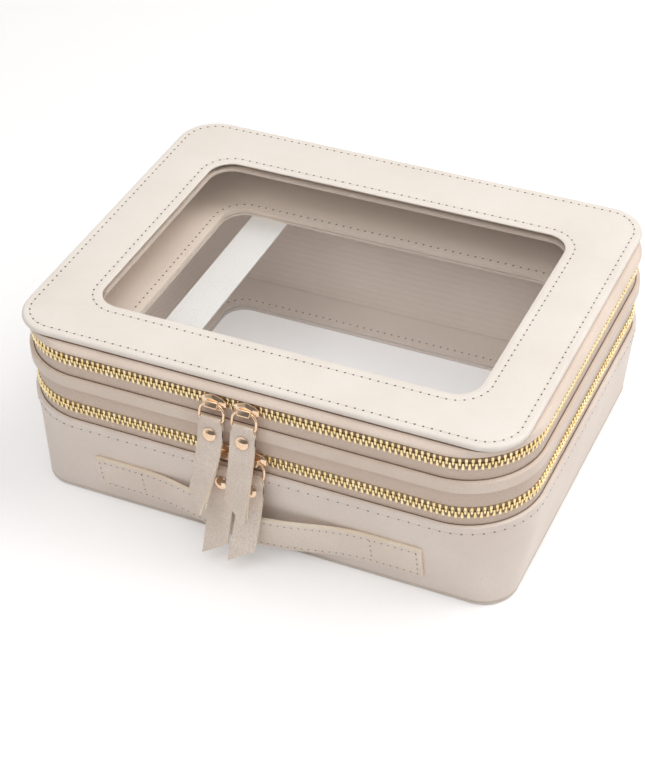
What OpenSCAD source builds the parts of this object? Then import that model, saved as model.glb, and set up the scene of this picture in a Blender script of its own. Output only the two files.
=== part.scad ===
// Two-tier makeup train case: leather-covered walls, clear windows, two zips.
// Frame: X to the right along the front, Y to the back, Z up.
// The origin is the centre of the underside. Millimetres.

/* [Case] */
// Width of the case at its zips, left to right
case_w = 258; // [230:1:310]
// Depth of the case at its zips, front to back
case_d = 202; // [175:1:250]
// Corner radius of the case at its zips
case_r = 38; // [32:1:44]
// Corner radius of the lid's top panel
top_r = 20; // [15:1:26]
// Corner radius of the case at its underside
bottom_r = 17; // [12:1:24]
// How far the top panel sits inside the case's outline
top_inset = 4; // [3:0.5:6]
// How far the underside sits inside the case's outline
bottom_inset = 7; // [4:0.5:10]
// How far the wall has moved in at its widest taper change
belly_inset = 0.9; // [0.5:0.1:1.5]

/* [Heights] */
// Height of the base wall's folded top edge
base_h = 50.5; // [50:0.5:70]
// From the base wall's edge up to the centre of the lower zip
low_zip_rise = 7.3; // [7:0.1:9]
// From the centre of the lower zip up to the tray strip
low_tape_rise = 12.2; // [9:0.1:16]
// Height of the tray's leather strip
tray_strip_h = 6.5; // [5:0.5:10]
// From the tray strip up to the centre of the upper zip
up_zip_rise = 9.3; // [8:0.1:12]
// From the centre of the upper zip up to the lid's leather strip
lid_strip_rise = 4.8; // [4.7:0.1:6]
// Height of the lid's leather strip
lid_strip_h = 3.4; // [3:0.1:6]
// Height of the nearly straight top part of the base wall
straight_h = 10; // [9:0.5:14]

/* [Layers] */
// Thickness of the leather on the walls and strips
leather_t = 1.6; // [1.2:0.1:2]
// Thickness of the stiffening board inside the base wall
board_t = 0.8; // [0.6:0.1:1.2]
// Thickness of the lining
lining_t = 0.8; // [0.6:0.1:1.2]
// Thickness of the lid's top panel
lid_panel_t = 3.2; // [2.8:0.1:4]
// Thickness of the leather frame of the underside
bottom_panel_t = 2.1; // [1.8:0.1:2.1]
// Thickness of the leather frame of the middle panel
middle_panel_t = 2.2; // [1.8:0.1:3]
// Thickness of the frames sewn behind the clear windows
inner_frame_t = 1.2; // [1:0.1:2]
// Thickness of the clear window films
film_t = 0.5; // [0.4:0.05:0.8]
// Radius of the rounded folded edges
fold_r = 0.9; // [0.6:0.05:1.1]
// Radius of the piping round the underside
piping_r = 1.3; // [1:0.1:1.6]

/* [Windows] */
// Width of the lid's window
lid_window_w = 190; // [170:1:196]
// Depth of the lid's window
lid_window_d = 131; // [110:1:136]
// How far the lid's window sits forward of the centre
lid_window_shift = 2; // [0:0.5:4]
// Width of the middle panel's window
mid_window_w = 179; // [150:1:190]
// Depth of the middle panel's window
mid_window_d = 127; // [105:1:134]
// Width of the underside's window
low_window_w = 192; // [160:1:200]
// Depth of the underside's window
low_window_d = 137; // [110:1:142]
// Corner radius of the windows
window_r = 12; // [8:1:18]
// How far each film runs in under its frame
film_lap = 7; // [5:0.5:9]
// Width of the elastic band across the middle window
band_w = 20; // [15:1:25]
// Distance of the band's centre to the left of the case's centre
band_x = 68; // [60:1:70]
// Thickness of the elastic band
band_t = 1; // [0.8:0.1:1.4]

/* [Zips] */
// Distance from one tooth to the next in a row
tooth_pitch = 2.75; // [2.6:0.05:3.2]
// Width of a tooth along the zip
tooth_w = 1.15; // [1:0.05:1.25]
// Thickness of a tooth through the tape
tooth_t = 2.6; // [2.2:0.1:2.8]
// Half height of the closed zip's teeth
chain_half = 3.1; // [2.8:0.1:3.3]
// How far a tooth's head reaches past the zip's centre
head_reach = 0.7; // [0.5:0.1:0.9]
// Depth of a tooth's head above the edge of the tape
head_depth = 1.7; // [1.5:0.1:1.9]
// Thickness of the zip tape
tape_t = 0.8; // [0.6:0.1:1]
// Depth of the tape's outer face inside the case's outline
tape_inset = 2.4; // [2.4:0.1:2.8]
// How far a tape runs in behind the leather
tape_lap = 5.5; // [4:0.5:7]
// Length of an end stop along the zip
stop_l = 3.2; // [2.5:0.1:4]

/* [Sliders] */
// Length of a slider along the zip
slider_l = 12.5; // [11:0.1:13]
// Thickness of a slider's face plate
slider_t = 1.2; // [1:0.1:1.4]
// Thickness of a slider's flanges
flange_t = 0.9; // [0.7:0.1:1]
// Running gap between a slider and the teeth
slider_gap = 0.3; // [0.25:0.05:0.4]
// Radius of the wire of a link
wire_r = 0.7; // [0.6:0.05:0.8]
// Running gap round a link's wire
wire_gap = 0.3; // [0.25:0.05:0.4]
// Width of a link over its two sides
link_w = 13.4; // [12.4:0.1:13.8]
// Distance between the top and bottom bars of a link
link_h = 8; // [7:0.1:10]
// Height of the bridge over the link's top bar
bridge_t = 1; // [0.8:0.1:1.4]
// Width of the bridge along the zip
bridge_w = 3.6; // [3:0.1:4.4]
// Centre of the upper left slider
up_left_x = -16; // [-18:0.1:-15]
// Centre of the upper right slider
up_right_x = 0.2; // [-2:0.1:2]
// Centre of the lower left slider
low_left_x = -12; // [-18:0.1:-12]
// Centre of the lower right slider
low_right_x = 2.5; // [2.5:0.1:8]

/* [Pull tabs] */
// Width of a leather tab
tab_w = 12.2; // [11.6:0.1:13]
// Running gap between a tab's neck and each side of its link
neck_gap = 0.3; // [0.2:0.05:0.5]
// Length of a tab below its link
tab_l = 46; // [38:0.5:49]
// Thickness of one layer of a tab's leather
tab_t = 1.15; // [1:0.05:1.3]
// How far the slanted end of a tab is cut back at one side
tab_slant = 8; // [3:0.5:11]
// Gap that opens between the two layers at a tab's end
tab_splay = 1.6; // [0.8:0.1:2.4]
// How far the back layer stops short of the front layer
tab_short = 3; // [1:0.5:6]
// Radius of a rivet's cap
rivet_r = 3.3; // [2.6:0.1:4]
// Height of a rivet's cap
rivet_h = 1.3; // [0.9:0.1:1.8]
// Distance from a link's bottom bar down to the rivet
rivet_drop = 7; // [6:0.1:9]
// Outward lean of the upper pulls at rest
up_lean = 15; // [14:0.5:17]
// Outward lean of the lower pulls at rest
low_lean = 13; // [12.5:0.1:13.5]

/* [Handle] */
// Length of the handle strap along the wall
handle_l = 167; // [140:1:176]
// Height of the handle strap
handle_h = 19.5; // [15:0.5:21]
// Thickness of the handle strap
handle_t = 2; // [1.6:0.1:2.2]
// Length of each end sewn to the wall
handle_end = 25; // [20:1:30]
// How far the middle of the strap bows out from the wall
handle_bow = 6; // [5.8:0.1:6.2]
// Height of the strap's centre above the table
handle_z = 21; // [18:0.5:22]

/* [Hidden] */
$fn = 64;
corner_fn = 96;
loft_fn = 48;
wire_fn = 32;
seat = 0.01;
level_t = 0.2;
overrun = 2;
rivet_back_t = 0.5;
seam_gap = 0.05;
tooth_gap = 0.3;
strip_inset = 0.3;
rim_w = 3;
neck_drop = 1.6;
nose_cut = 1.6;
split_drop = 6;

low_zip_z = base_h + low_zip_rise;
tray_strip_z = low_zip_z + low_tape_rise;
tray_strip_top = tray_strip_z + tray_strip_h;
up_zip_z = tray_strip_top + up_zip_rise;
lid_strip_z = up_zip_z + lid_strip_rise;
lid_panel_z = lid_strip_z + lid_strip_h;

wall_z = 2 * piping_r;
bottom_film_z = wall_z - film_t;
straight_z = base_h - straight_h;
bottom_edge = bottom_inset + 2 * piping_r;
tape_in = tape_inset + tape_t;
chain_in = tape_inset + tape_t / 2;
lining_back = tape_in + lining_t;

// Middle panel: leather frame on top, film, frame below, band under the film
mid_top = tray_strip_z + 0.5;
mid_film_z = mid_top - middle_panel_t - film_t;
mid_under_z = mid_film_z - inner_frame_t;
mid_out = lining_back;

path_r = case_r - chain_in;
front_half = case_w / 2 - case_r;
side_len = case_d - 2 * case_r;
quarter = PI / 2 * path_r;
half_path = front_half + quarter + side_len + quarter / 2;
stop_path = half_path - stop_l;
tooth_count = 2 * floor((stop_path - tooth_pitch) / tooth_pitch) + 1;

slider_face_in = chain_in - tooth_t / 2 - slider_gap;
slider_half = chain_half + slider_gap + flange_t;
flange_depth = tape_inset - 0.4;
bar_out = wire_r + wire_gap - (slider_face_in - slider_t);
bridge_hole_r = wire_r + wire_gap;

low_slope = (bottom_inset - belly_inset) / (straight_z - wall_z);
high_slope = belly_inset / (base_h - straight_z);
corner_slope = (case_r - bottom_r) / (straight_z - wall_z);
taper = atan(low_slope);
shank_r = rivet_r * 0.4;
rivet_back_r = rivet_r * 0.8;

// ---- Shared shapes -------------------------------------------------------

// Rounded rectangle of width w, depth d and corner radius r
module rounded(w, d, r, fn = corner_fn) {
    square([w - 2 * r, d], center = true);
    square([w, d - 2 * r], center = true);
    for (x = [-1, 1], y = [-1, 1])
        translate([x * (w / 2 - r), y * (d / 2 - r)])
            circle(r, $fn = fn);
}

// The case's outline at the zips, moved in by inset
module outline(inset) {
    rounded(case_w - 2 * inset, case_d - 2 * inset, case_r - inset);
}

// Vertical band between two insets of the outline, from height z0 to z1
module band(out, in, z0, z1) {
    translate([0, 0, z0])
        linear_extrude(z1 - z0)
            difference() {
                outline(out);
                outline(in);
            }
}

// Plan region at the back, between the two ends of a zip
module back_zone() {
    x = case_w / 2 - case_r;
    y = case_d / 2 - case_r;
    polygon([[-x, y], [x, y], [x + case_r, y + case_r], [-x - case_r, y + case_r]]);
}

// Part of a band along the zip, or the part across the back when back is true
module band_part(out, in, z0, z1, back) {
    translate([0, 0, z0])
        linear_extrude(z1 - z0)
            if (back)
                intersection() {
                    difference() {
                        outline(out);
                        outline(in);
                    }
                    back_zone();
                }
            else
                difference() {
                    outline(out);
                    outline(in);
                    back_zone();
                }
}

// Sweeps a profile, drawn with x outward from the outline, once round the case
module sweep_round(w, d, r) {
    for (turn = [[0, w / 2, d], [90, d / 2, w], [180, w / 2, d], [270, d / 2, w]])
        rotate(turn[0])
            translate([turn[1], turn[2] / 2 - r, 0])
                rotate([90, 0, 0])
                    linear_extrude(turn[2] - 2 * r)
                        children();
    for (corner = [[1, 1, 0], [-1, 1, 90], [-1, -1, 180], [1, -1, 270]])
        translate([corner[0] * (w / 2 - r), corner[1] * (d / 2 - r), 0])
            rotate(corner[2])
                rotate_extrude(angle = 90, $fn = corner_fn)
                    translate([r, 0])
                        children();
}

// Section of a folded strip, thick t and high h, with round outer edges
module folded_edge(t, h) {
    translate([-t, 0])
        square([t - fold_r, h]);
    translate([-t, fold_r])
        square([t, h - 2 * fold_r]);
    for (z = [fold_r, h - fold_r])
        translate([-fold_r, z])
            circle(fold_r, $fn = wire_fn);
}

// One level of a tapered wall: a thin slab of the wall's outline
module level(z, inset, r) {
    translate([0, 0, z - level_t / 2])
        linear_extrude(level_t)
            rounded(case_w - 2 * inset, case_d - 2 * inset, r, loft_fn);
}

// Solid of the base's tapered outside, moved in by inset. It runs on past the
// wall's top and bottom, so that every layer is a slice of the same shape
module base_solid(inset) {
    hull() {
        level(wall_z - overrun, bottom_inset + overrun * low_slope + inset, bottom_r - overrun * corner_slope - inset);
        level(straight_z, belly_inset + inset, case_r - inset);
        level(base_h + overrun, inset - overrun * high_slope, case_r - inset);
    }
}

// Tapered wall layer: thick t, with its outside moved in by inset
module base_layer(inset, t, z0, z1) {
    slice(z0, z1)
        difference() {
            base_solid(inset);
            base_solid(inset + t);
        }
}

// What lies between the heights z0 and z1
module slice(z0, z1) {
    intersection() {
        children();
        translate([0, 0, (z0 + z1) / 2])
            cube([case_w + 2, case_d + 2, z1 - z0], center = true);
    }
}

// Flat frame with rounded corners round a window
module frame_plate(w, d, r, window_w, window_d, z, t, shift = 0) {
    translate([0, 0, z])
        linear_extrude(t)
            difference() {
                rounded(w, d, r);
                translate([0, -shift])
                    rounded(window_w, window_d, window_r);
            }
}

// Clear film that runs in under its frame on all sides
module film(window_w, window_d, z, shift = 0) {
    translate([0, -shift, z])
        linear_extrude(film_t)
            rounded(window_w + 2 * film_lap, window_d + 2 * film_lap, window_r + film_lap);
}

// ---- Zips ----------------------------------------------------------------

// Puts children on the zip's path, a distance s from the middle of the front;
// their x points outward and their z up
module on_path(s) {
    scale_x(s)
        place_right(abs(s))
            children();
}

// Place on the right half of the zip's path
module place_right(s) {
    x = case_w / 2 - case_r;
    y = case_d / 2 - case_r;
    turn = 180 / PI / path_r;
    if (s <= front_half)
        translate([s, -case_d / 2 + chain_in, 0])
            rotate(-90)
                children();
    else if (s <= front_half + quarter)
        translate([x, -y, 0])
            rotate(-90 + (s - front_half) * turn)
                translate([path_r, 0, 0])
                    children();
    else if (s <= front_half + quarter + side_len)
        translate([case_w / 2 - chain_in, -y + s - front_half - quarter, 0])
            children();
    else
        translate([x, y, 0])
            rotate((s - front_half - quarter - side_len) * turn)
                translate([path_r, 0, 0])
                    children();
}

// One tooth, crimped over the tape's edge, with its head pointing up
module tooth() {
    out = tooth_t / 2;
    grip = tape_t / 2;
    root = head_reach - head_depth;
    rotate([90, 0, 0])
        linear_extrude(tooth_w, center = true)
            polygon([
                [-out, -chain_half], [-out, head_reach], [out * 0.5, head_reach],
                [out, head_reach * 0.3], [out, -chain_half], [grip, -chain_half],
                [grip, root], [-grip, root], [-grip, -chain_half]
            ]);
}

// Row of teeth at height z; the upper row points down and is half a pitch on
module teeth_row(z, upper) {
    count = upper ? tooth_count - 1 : tooth_count;
    translate([0, 0, z])
        for (i = [0 : count - 1])
            on_path((i - (count - 1) / 2) * tooth_pitch)
                mirror([0, 0, upper ? 1 : 0])
                    tooth();
}

// Tape from height z0 to z1 along the zip
module zip_tape(z0, z1) {
    band_part(tape_inset, tape_in, z0, z1, false);
}

// Leather strip across the back, in the layer of the zip's tapes
module hinge_strip(z0, z1) {
    band_part(tape_inset, tape_in, z0, z1, true);
}

// Pair of end stops clamped on a tape's edge, below the centre of a zip
module end_stops(z) {
    out = tooth_t / 2;
    grip = tape_t / 2 + seam_gap;
    root = head_reach - head_depth + seam_gap;
    for (s = [-1, 1])
        translate([0, 0, z])
            on_path(s * (half_path - stop_l / 2 - tooth_gap))
                rotate([90, 0, 0])
                    linear_extrude(stop_l, center = true)
                        polygon([
                            [-out, -chain_half], [-out, 0], [out, 0], [out, -chain_half],
                            [grip, -chain_half], [grip, root], [-grip, root], [-grip, -chain_half]
                        ]);
}

// ---- Sliders and pulls ----------------------------------------------------

// Puts children at a slider's place: x along the front, z up, -y outward,
// with y = 0 on the case's outline
module at_slider(x, z) {
    translate([x, -case_d / 2, z])
        children();
}

// Face plate outline, wide at the mouth and narrow at the tail
module slider_face(h) {
    l = slider_l / 2;
    polygon([
        [-l, h - nose_cut / 2], [-l + nose_cut, h], [1, h], [l - 0.8, h * 0.72], [l, h * 0.45],
        [l, -h * 0.45], [l - 0.8, -h * 0.72], [1, -h], [-l + nose_cut, -h], [-l, -h + nose_cut / 2]
    ]);
}

// Slider body: face plate in front of the teeth, a flange under the row that
// it rides on, and a bridge for the link. The tail points to +x when tail is 1
module slider(x, z, tail) {
    face_y = slider_face_in - slider_t;
    hole_y = -bar_out;
    color("#d9a07c")
        at_slider(x, z)
            scale_x(tail) {
                translate([0, slider_face_in, 0])
                    rotate([90, 0, 0])
                        linear_extrude(slider_t)
                            slider_face(slider_half);
                translate([-slider_l / 2 + nose_cut, face_y, -slider_half])
                    cube([slider_l / 2 - nose_cut + 1, flange_depth - face_y, flange_t]);
                bridge(face_y, hole_y);
            }
}

// Mirrors across x = 0 when side is -1
module scale_x(side) {
    mirror([side < 0 ? 1 : 0, 0, 0])
        children();
}

// Bridge with a bore along x that the link's top bar turns in
module bridge(face_y, hole_y) {
    outer = bridge_hole_r + bridge_t;
    difference() {
        union() {
            translate([-bridge_w / 2, hole_y, 0])
                rotate([0, 90, 0])
                    cylinder(bridge_w, outer, outer);
            translate([-bridge_w / 2, hole_y, -outer])
                cube([bridge_w, face_y - hole_y + seat, 2 * outer]);
        }
        translate([-bridge_w / 2 - 1, hole_y, 0])
            rotate([0, 90, 0])
                cylinder(bridge_w + 2, bridge_hole_r, bridge_hole_r);
    }
}

// Frame of a pull: origin on the link's top bar, leaning outward by lean
module at_pull(x, z, lean) {
    at_slider(x, z)
        translate([0, -bar_out, 0])
            rotate([-lean, 0, 0])
                children();
}

// Wire link: a closed loop with straight bars and round corners
module link(x, z, lean) {
    bend = 1.6;
    half = link_w / 2 - wire_r;
    color("#d9a07c")
        at_pull(x, z, lean) {
            for (bar = [0, -link_h])
                translate([-half + bend, 0, bar])
                    rotate([0, 90, 0])
                        cylinder(2 * (half - bend), wire_r, wire_r, $fn = wire_fn);
            for (side = [-1, 1])
                translate([side * half, 0, -link_h + bend])
                    cylinder(link_h - 2 * bend, wire_r, wire_r, $fn = wire_fn);
            for (corner = [[half, -bend, 0], [-half, -bend, 90], [-half, bend - link_h, 180], [half, bend - link_h, 270]])
                translate([corner[0] - sign(corner[0]) * bend, 0, corner[1]])
                    rotate([90, 0, 0])
                        rotate(corner[2])
                            rotate_extrude(angle = 90, $fn = wire_fn)
                                translate([bend, 0])
                                    circle(wire_r, $fn = wire_fn);
        }
}

// Side profile of a folded tab: a loop round the bar and two layers below,
// which open towards their ends
module tab_profile() {
    loop_in = wire_r + wire_gap;
    loop_out = loop_in + tab_t;
    pinch = -rivet_drop;
    front_end = -tab_l;
    back_end = -tab_l + tab_short;
    splay = tab_splay / 2;
    difference() {
        polygon(concat(
            [for (a = [0 : 15 : 180]) loop_out * [cos(a), sin(a)]],
            [[-tab_t, pinch], [-splay - tab_t, front_end], [-splay, front_end], [0, pinch - split_drop]],
            [[splay, back_end], [splay + tab_t, back_end], [tab_t, pinch]]
        ));
        circle(loop_in, $fn = wire_fn);
    }
}

// Folded leather tab with a slanted end and the rivet's hole
module tab(x, z, lean, slant_side) {
    color("#e6d6c8")
        at_pull(x, z, lean)
            translate([0, 0, -link_h])
                difference() {
                    translate([-tab_w / 2, 0, 0])
                        rotate([90, 0, 90])
                            linear_extrude(tab_w)
                                tab_profile();
                    tab_end_cut(slant_side);
                    for (side = [-1, 1])
                        neck_cut(side);
                    translate([0, 0, -rivet_drop])
                        rotate([90, 0, 0])
                            rivet_seat();
                }
}

// Hole for the rivet's shank, and the flats that its caps press in the leather
module rivet_seat() {
    deep = 3 * tab_t;
    hole_r = shank_r + seam_gap;
    front_r = rivet_r + seam_gap;
    back_r = rivet_back_r + seam_gap;
    cylinder(2 * deep, hole_r, hole_r, center = true);
    translate([0, 0, tab_t])
        cylinder(deep, front_r, front_r);
    translate([0, 0, -tab_t - deep])
        cylinder(deep, back_r, back_r);
}

// Cuts the tab's top down to the neck that fits between the link's sides
module neck_cut(side) {
    neck = link_w / 2 - 2 * wire_r - neck_gap;
    scale_x(side)
        rotate([90, 0, 0])
            linear_extrude(20, center = true)
                polygon([
                    [neck, 5], [neck, -neck_drop], [tab_w / 2 + 0.1, -neck_drop - 2],
                    [tab_w / 2 + 0.1, 5]
                ]);
}

// Wedge that cuts a tab's end off at a slant
module tab_end_cut(side) {
    rotate([90, 0, 0])
        linear_extrude(20, center = true)
            polygon([
                [-side * (tab_w / 2 + 1), -tab_l - 1],
                [-side * (tab_w / 2 + 1), -tab_l - 0.5],
                [side * (tab_w / 2 + 1), -tab_l + tab_slant],
                [side * (tab_w / 2 + 1), -tab_l - 1]
            ]);
}

// Rivet: domed cap in front, flat cap behind and a shank through both layers
module rivet(x, z, lean) {
    dome_r = (rivet_r * rivet_r + rivet_h * rivet_h) / 2 / rivet_h;
    color("#d9a07c")
        at_pull(x, z, lean)
            translate([0, 0, -link_h - rivet_drop])
                rotate([90, 0, 0]) {
                    translate([0, 0, tab_t])
                        intersection() {
                            translate([0, 0, rivet_h - dome_r])
                                sphere(dome_r);
                            cylinder(rivet_h, rivet_r, rivet_r);
                        }
                    cylinder(2 * tab_t, shank_r, shank_r, center = true);
                    translate([0, 0, -tab_t - rivet_back_t])
                        cylinder(rivet_back_t, rivet_back_r, rivet_back_r);
                }
}

// ---- Base ------------------------------------------------------------------

// Leather wall. Its top edge is turned in and lies on the zip's tape
module base_wall() {
    hem_z = base_h - tape_lap;
    color("#cfc4bb")
        difference() {
            slice(wall_z, base_h)
                base_solid(0);
            slice(wall_z - overrun / 2, hem_z)
                base_solid(leather_t);
            translate([0, 0, hem_z - seam_gap])
                linear_extrude(tape_lap + 1)
                    outline(tape_inset - seat);
        }
}

module base_board() {
    color("#b9ab9c")
        base_layer(leather_t + seat, board_t, wall_z, base_h - tape_lap - 1);
}

// Base lining. It stays inside the zip's tape where the two meet
module base_lining() {
    color("#b8a696")
        intersection() {
            base_layer(tape_in, lining_t, wall_z + inner_frame_t, base_h);
            linear_extrude(base_h + 1)
                outline(tape_in + seat);
        }
}

module bottom_panel() {
    color("#d8cec5")
        frame_plate(case_w - 2 * bottom_edge, case_d - 2 * bottom_edge, bottom_r - 2 * piping_r,
            low_window_w, low_window_d, bottom_film_z - bottom_panel_t, bottom_panel_t);
}

module bottom_piping() {
    color("#c8bcb2")
        translate([0, 0, piping_r])
            sweep_round(case_w - 2 * bottom_inset, case_d - 2 * bottom_inset, bottom_r)
                translate([-piping_r, 0])
                    circle(piping_r, $fn = wire_fn);
}

module bottom_window() {
    color("#dfe6ea", 0.4)
        film(low_window_w, low_window_d, bottom_film_z);
}

module bottom_inner_frame() {
    inset = bottom_inset + leather_t + board_t + 0.2;
    color("#b8a696")
        frame_plate(case_w - 2 * inset, case_d - 2 * inset, bottom_r + bottom_inset - inset,
            low_window_w, low_window_d, wall_z, inner_frame_t);
}

module base_zip_tape() {
    color("#d9c3b2")
        zip_tape(base_h - tape_lap, low_zip_z + head_reach - head_depth);
}

module base_zip_teeth() {
    color("#d8b866")
        teeth_row(low_zip_z, false);
}

module lower_zip_stops() {
    color("#d8b866")
        end_stops(low_zip_z);
}

module base_hinge_strip() {
    color("#cfc4bb")
        hinge_strip(base_h - tape_lap, low_zip_z - 0.3);
}

// Strap outline in plan, flat at its sewn ends and bowed out between them
function bow(x) = abs(x) > handle_l / 2 - handle_end ? 0
    : handle_bow * (1 + cos(180 * x / (handle_l / 2 - handle_end))) / 2;

module handle_strap() {
    steps = 40;
    half = handle_l / 2;
    // the wall leans, so the strap lies in a frame that leans with it
    inset = bottom_inset - (handle_z - wall_z) * low_slope - seam_gap;
    color("#ddd0c6")
        translate([0, -case_d / 2 + inset, handle_z])
            rotate([taper, 0, 0])
                linear_extrude(handle_h, center = true)
                    polygon([
                        for (i = [0 : steps]) let (x = -half + handle_l * i / steps) [x, -bow(x)],
                        for (i = [steps : -1 : 0]) let (x = -half + handle_l * i / steps) [x, -bow(x) - handle_t]
                    ]);
}

// ---- Tray -------------------------------------------------------------------

module tray_strip() {
    color("#d3c8bf")
        translate([0, 0, tray_strip_z])
            sweep_round(case_w, case_d, case_r)
                folded_edge(tape_inset, tray_strip_h);
}

module tray_lower_tape() {
    color("#d3baa8")
        zip_tape(low_zip_z - head_reach + head_depth, tray_strip_z + tray_strip_h / 2 - 0.2);
}

module tray_lower_teeth() {
    color("#d8b866")
        teeth_row(low_zip_z, true);
}

module tray_upper_tape() {
    color("#d9c3b2")
        zip_tape(tray_strip_z + tray_strip_h / 2 + 0.2, up_zip_z + head_reach - head_depth);
}

module tray_upper_teeth() {
    color("#d8b866")
        teeth_row(up_zip_z, false);
}

module upper_zip_stops() {
    color("#d8b866")
        end_stops(up_zip_z);
}

module tray_lower_hinge_strip() {
    color("#cfc4bb")
        hinge_strip(low_zip_z + 0.3, tray_strip_z + tray_strip_h / 2 - 0.2);
}

module tray_upper_hinge_strip() {
    color("#cfc4bb")
        hinge_strip(tray_strip_z + tray_strip_h / 2 + 0.2, up_zip_z - 0.3);
}

module tray_lining() {
    color("#b8a696")
        band(tape_in, lining_back, mid_under_z, up_zip_z - chain_half - tooth_gap);
}

module middle_panel() {
    color("#c4b4a6")
        frame_plate(case_w - 2 * mid_out, case_d - 2 * mid_out, case_r - mid_out,
            mid_window_w, mid_window_d, mid_film_z + film_t, middle_panel_t);
}

module middle_window() {
    color("#dfe6ea", 0.4)
        film(mid_window_w, mid_window_d, mid_film_z);
}

module middle_under_frame() {
    color("#b8a696")
        frame_plate(case_w - 2 * mid_out, case_d - 2 * mid_out, case_r - mid_out,
            mid_window_w, mid_window_d, mid_under_z, inner_frame_t);
}

module elastic_band() {
    color("white")
        translate([-band_x - band_w / 2, -mid_window_d / 2 - film_lap, mid_under_z - band_t])
            cube([band_w, mid_window_d + 2 * film_lap, band_t]);
}

// ---- Lid --------------------------------------------------------------------

module lid_panel() {
    color("#f0e9e2")
        union() {
            frame_plate(case_w - 2 * top_inset - 2 * rim_w, case_d - 2 * top_inset - 2 * rim_w,
                top_r - rim_w, lid_window_w, lid_window_d, lid_panel_z, lid_panel_t, lid_window_shift);
            translate([0, 0, lid_panel_z])
                sweep_round(case_w - 2 * top_inset, case_d - 2 * top_inset, top_r)
                    rolled_rim();
        }
}

// Section of the lid panel's rolled rim, rounded on its outer side
module rolled_rim() {
    translate([-rim_w, 0])
        square([rim_w - lid_panel_t / 2, lid_panel_t]);
    translate([-lid_panel_t / 2, lid_panel_t / 2])
        circle(lid_panel_t / 2, $fn = wire_fn);
}

module lid_window() {
    color("#dfe6ea", 0.4)
        film(lid_window_w, lid_window_d, lid_panel_z - film_t, lid_window_shift);
}

module lid_inner_frame() {
    inset = top_inset + lining_back + 0.2;
    color("#c4b4a6")
        frame_plate(case_w - 2 * inset, case_d - 2 * inset, case_r - inset,
            lid_window_w, lid_window_d, lid_panel_z - film_t - inner_frame_t, inner_frame_t,
            lid_window_shift);
}

// Solid between the lid panel's outline and the zip's outline, moved in by inset
module lid_strip_solid(inset, z0, z1) {
    hull() {
        level(z0 + level_t / 2, strip_inset + inset, case_r - strip_inset - inset);
        level(z1 - level_t / 2, top_inset + strip_inset + inset, top_r + 2 - inset);
    }
}

module lid_strip() {
    color("#e3dad2")
        difference() {
            lid_strip_solid(0, lid_strip_z, lid_panel_z);
            lid_strip_solid(lining_back - strip_inset, lid_strip_z - seat, lid_panel_z + seat);
        }
}

module lid_lining() {
    color("#b8a696")
        band(tape_in, lining_back, up_zip_z + chain_half + tooth_gap, lid_strip_z);
}

module lid_zip_tape() {
    color("#d9c3b2")
        zip_tape(up_zip_z - head_reach + head_depth, lid_strip_z);
}

module lid_zip_teeth() {
    color("#d8b866")
        teeth_row(up_zip_z, true);
}

module lid_hinge_strip() {
    color("#cfc4bb")
        hinge_strip(up_zip_z + 0.3, lid_strip_z);
}

// ---- Assembly ---------------------------------------------------------------

base_wall();
base_board();
base_lining();
bottom_panel();
bottom_piping();
bottom_window();
bottom_inner_frame();
base_zip_tape();
base_zip_teeth();
lower_zip_stops();
base_hinge_strip();
handle_strap();
tray_strip();
tray_lower_tape();
tray_lower_teeth();
tray_upper_tape();
tray_upper_teeth();
upper_zip_stops();
tray_lower_hinge_strip();
tray_upper_hinge_strip();
tray_lining();
middle_panel();
middle_window();
middle_under_frame();
elastic_band();
lid_panel();
lid_window();
lid_inner_frame();
lid_strip();
lid_lining();
lid_zip_tape();
lid_zip_teeth();
lid_hinge_strip();
slider(up_left_x, up_zip_z, -1);  // upper_left_slider
link(up_left_x, up_zip_z, up_lean);  // upper_left_link
tab(up_left_x, up_zip_z, up_lean, -1);  // upper_left_tab
rivet(up_left_x, up_zip_z, up_lean);  // upper_left_rivet
slider(up_right_x, up_zip_z, 1);  // upper_right_slider
link(up_right_x, up_zip_z, up_lean);  // upper_right_link
tab(up_right_x, up_zip_z, up_lean, -1);  // upper_right_tab
rivet(up_right_x, up_zip_z, up_lean);  // upper_right_rivet
slider(low_left_x, low_zip_z, -1);  // lower_left_slider
link(low_left_x, low_zip_z, low_lean);  // lower_left_link
tab(low_left_x, low_zip_z, low_lean, 1);  // lower_left_tab
rivet(low_left_x, low_zip_z, low_lean);  // lower_left_rivet
slider(low_right_x, low_zip_z, 1);  // lower_right_slider
link(low_right_x, low_zip_z, low_lean);  // lower_right_link
tab(low_right_x, low_zip_z, low_lean, 1);  // lower_right_tab
rivet(low_right_x, low_zip_z, low_lean);  // lower_right_rivet
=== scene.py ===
from collections import namedtuple
from math import atan, cos, pi, radians, sin

import bmesh
import bpy
from mathutils import Matrix, Vector


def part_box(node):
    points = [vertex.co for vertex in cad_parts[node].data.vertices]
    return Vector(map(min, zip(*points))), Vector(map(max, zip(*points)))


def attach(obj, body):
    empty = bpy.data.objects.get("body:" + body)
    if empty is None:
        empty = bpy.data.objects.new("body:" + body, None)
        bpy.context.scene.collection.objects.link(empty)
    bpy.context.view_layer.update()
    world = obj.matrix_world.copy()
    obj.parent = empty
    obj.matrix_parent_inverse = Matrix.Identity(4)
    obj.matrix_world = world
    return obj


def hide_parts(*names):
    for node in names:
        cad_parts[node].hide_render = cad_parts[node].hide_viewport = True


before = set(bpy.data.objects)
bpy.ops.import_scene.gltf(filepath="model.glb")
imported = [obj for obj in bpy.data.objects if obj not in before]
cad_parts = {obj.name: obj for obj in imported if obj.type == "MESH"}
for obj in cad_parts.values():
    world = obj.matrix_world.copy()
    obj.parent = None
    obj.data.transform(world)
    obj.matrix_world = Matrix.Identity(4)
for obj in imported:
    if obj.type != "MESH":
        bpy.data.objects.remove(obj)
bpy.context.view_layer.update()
mm = 0.001

# ---------------------------------------------------------------- sizes, in mm

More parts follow.
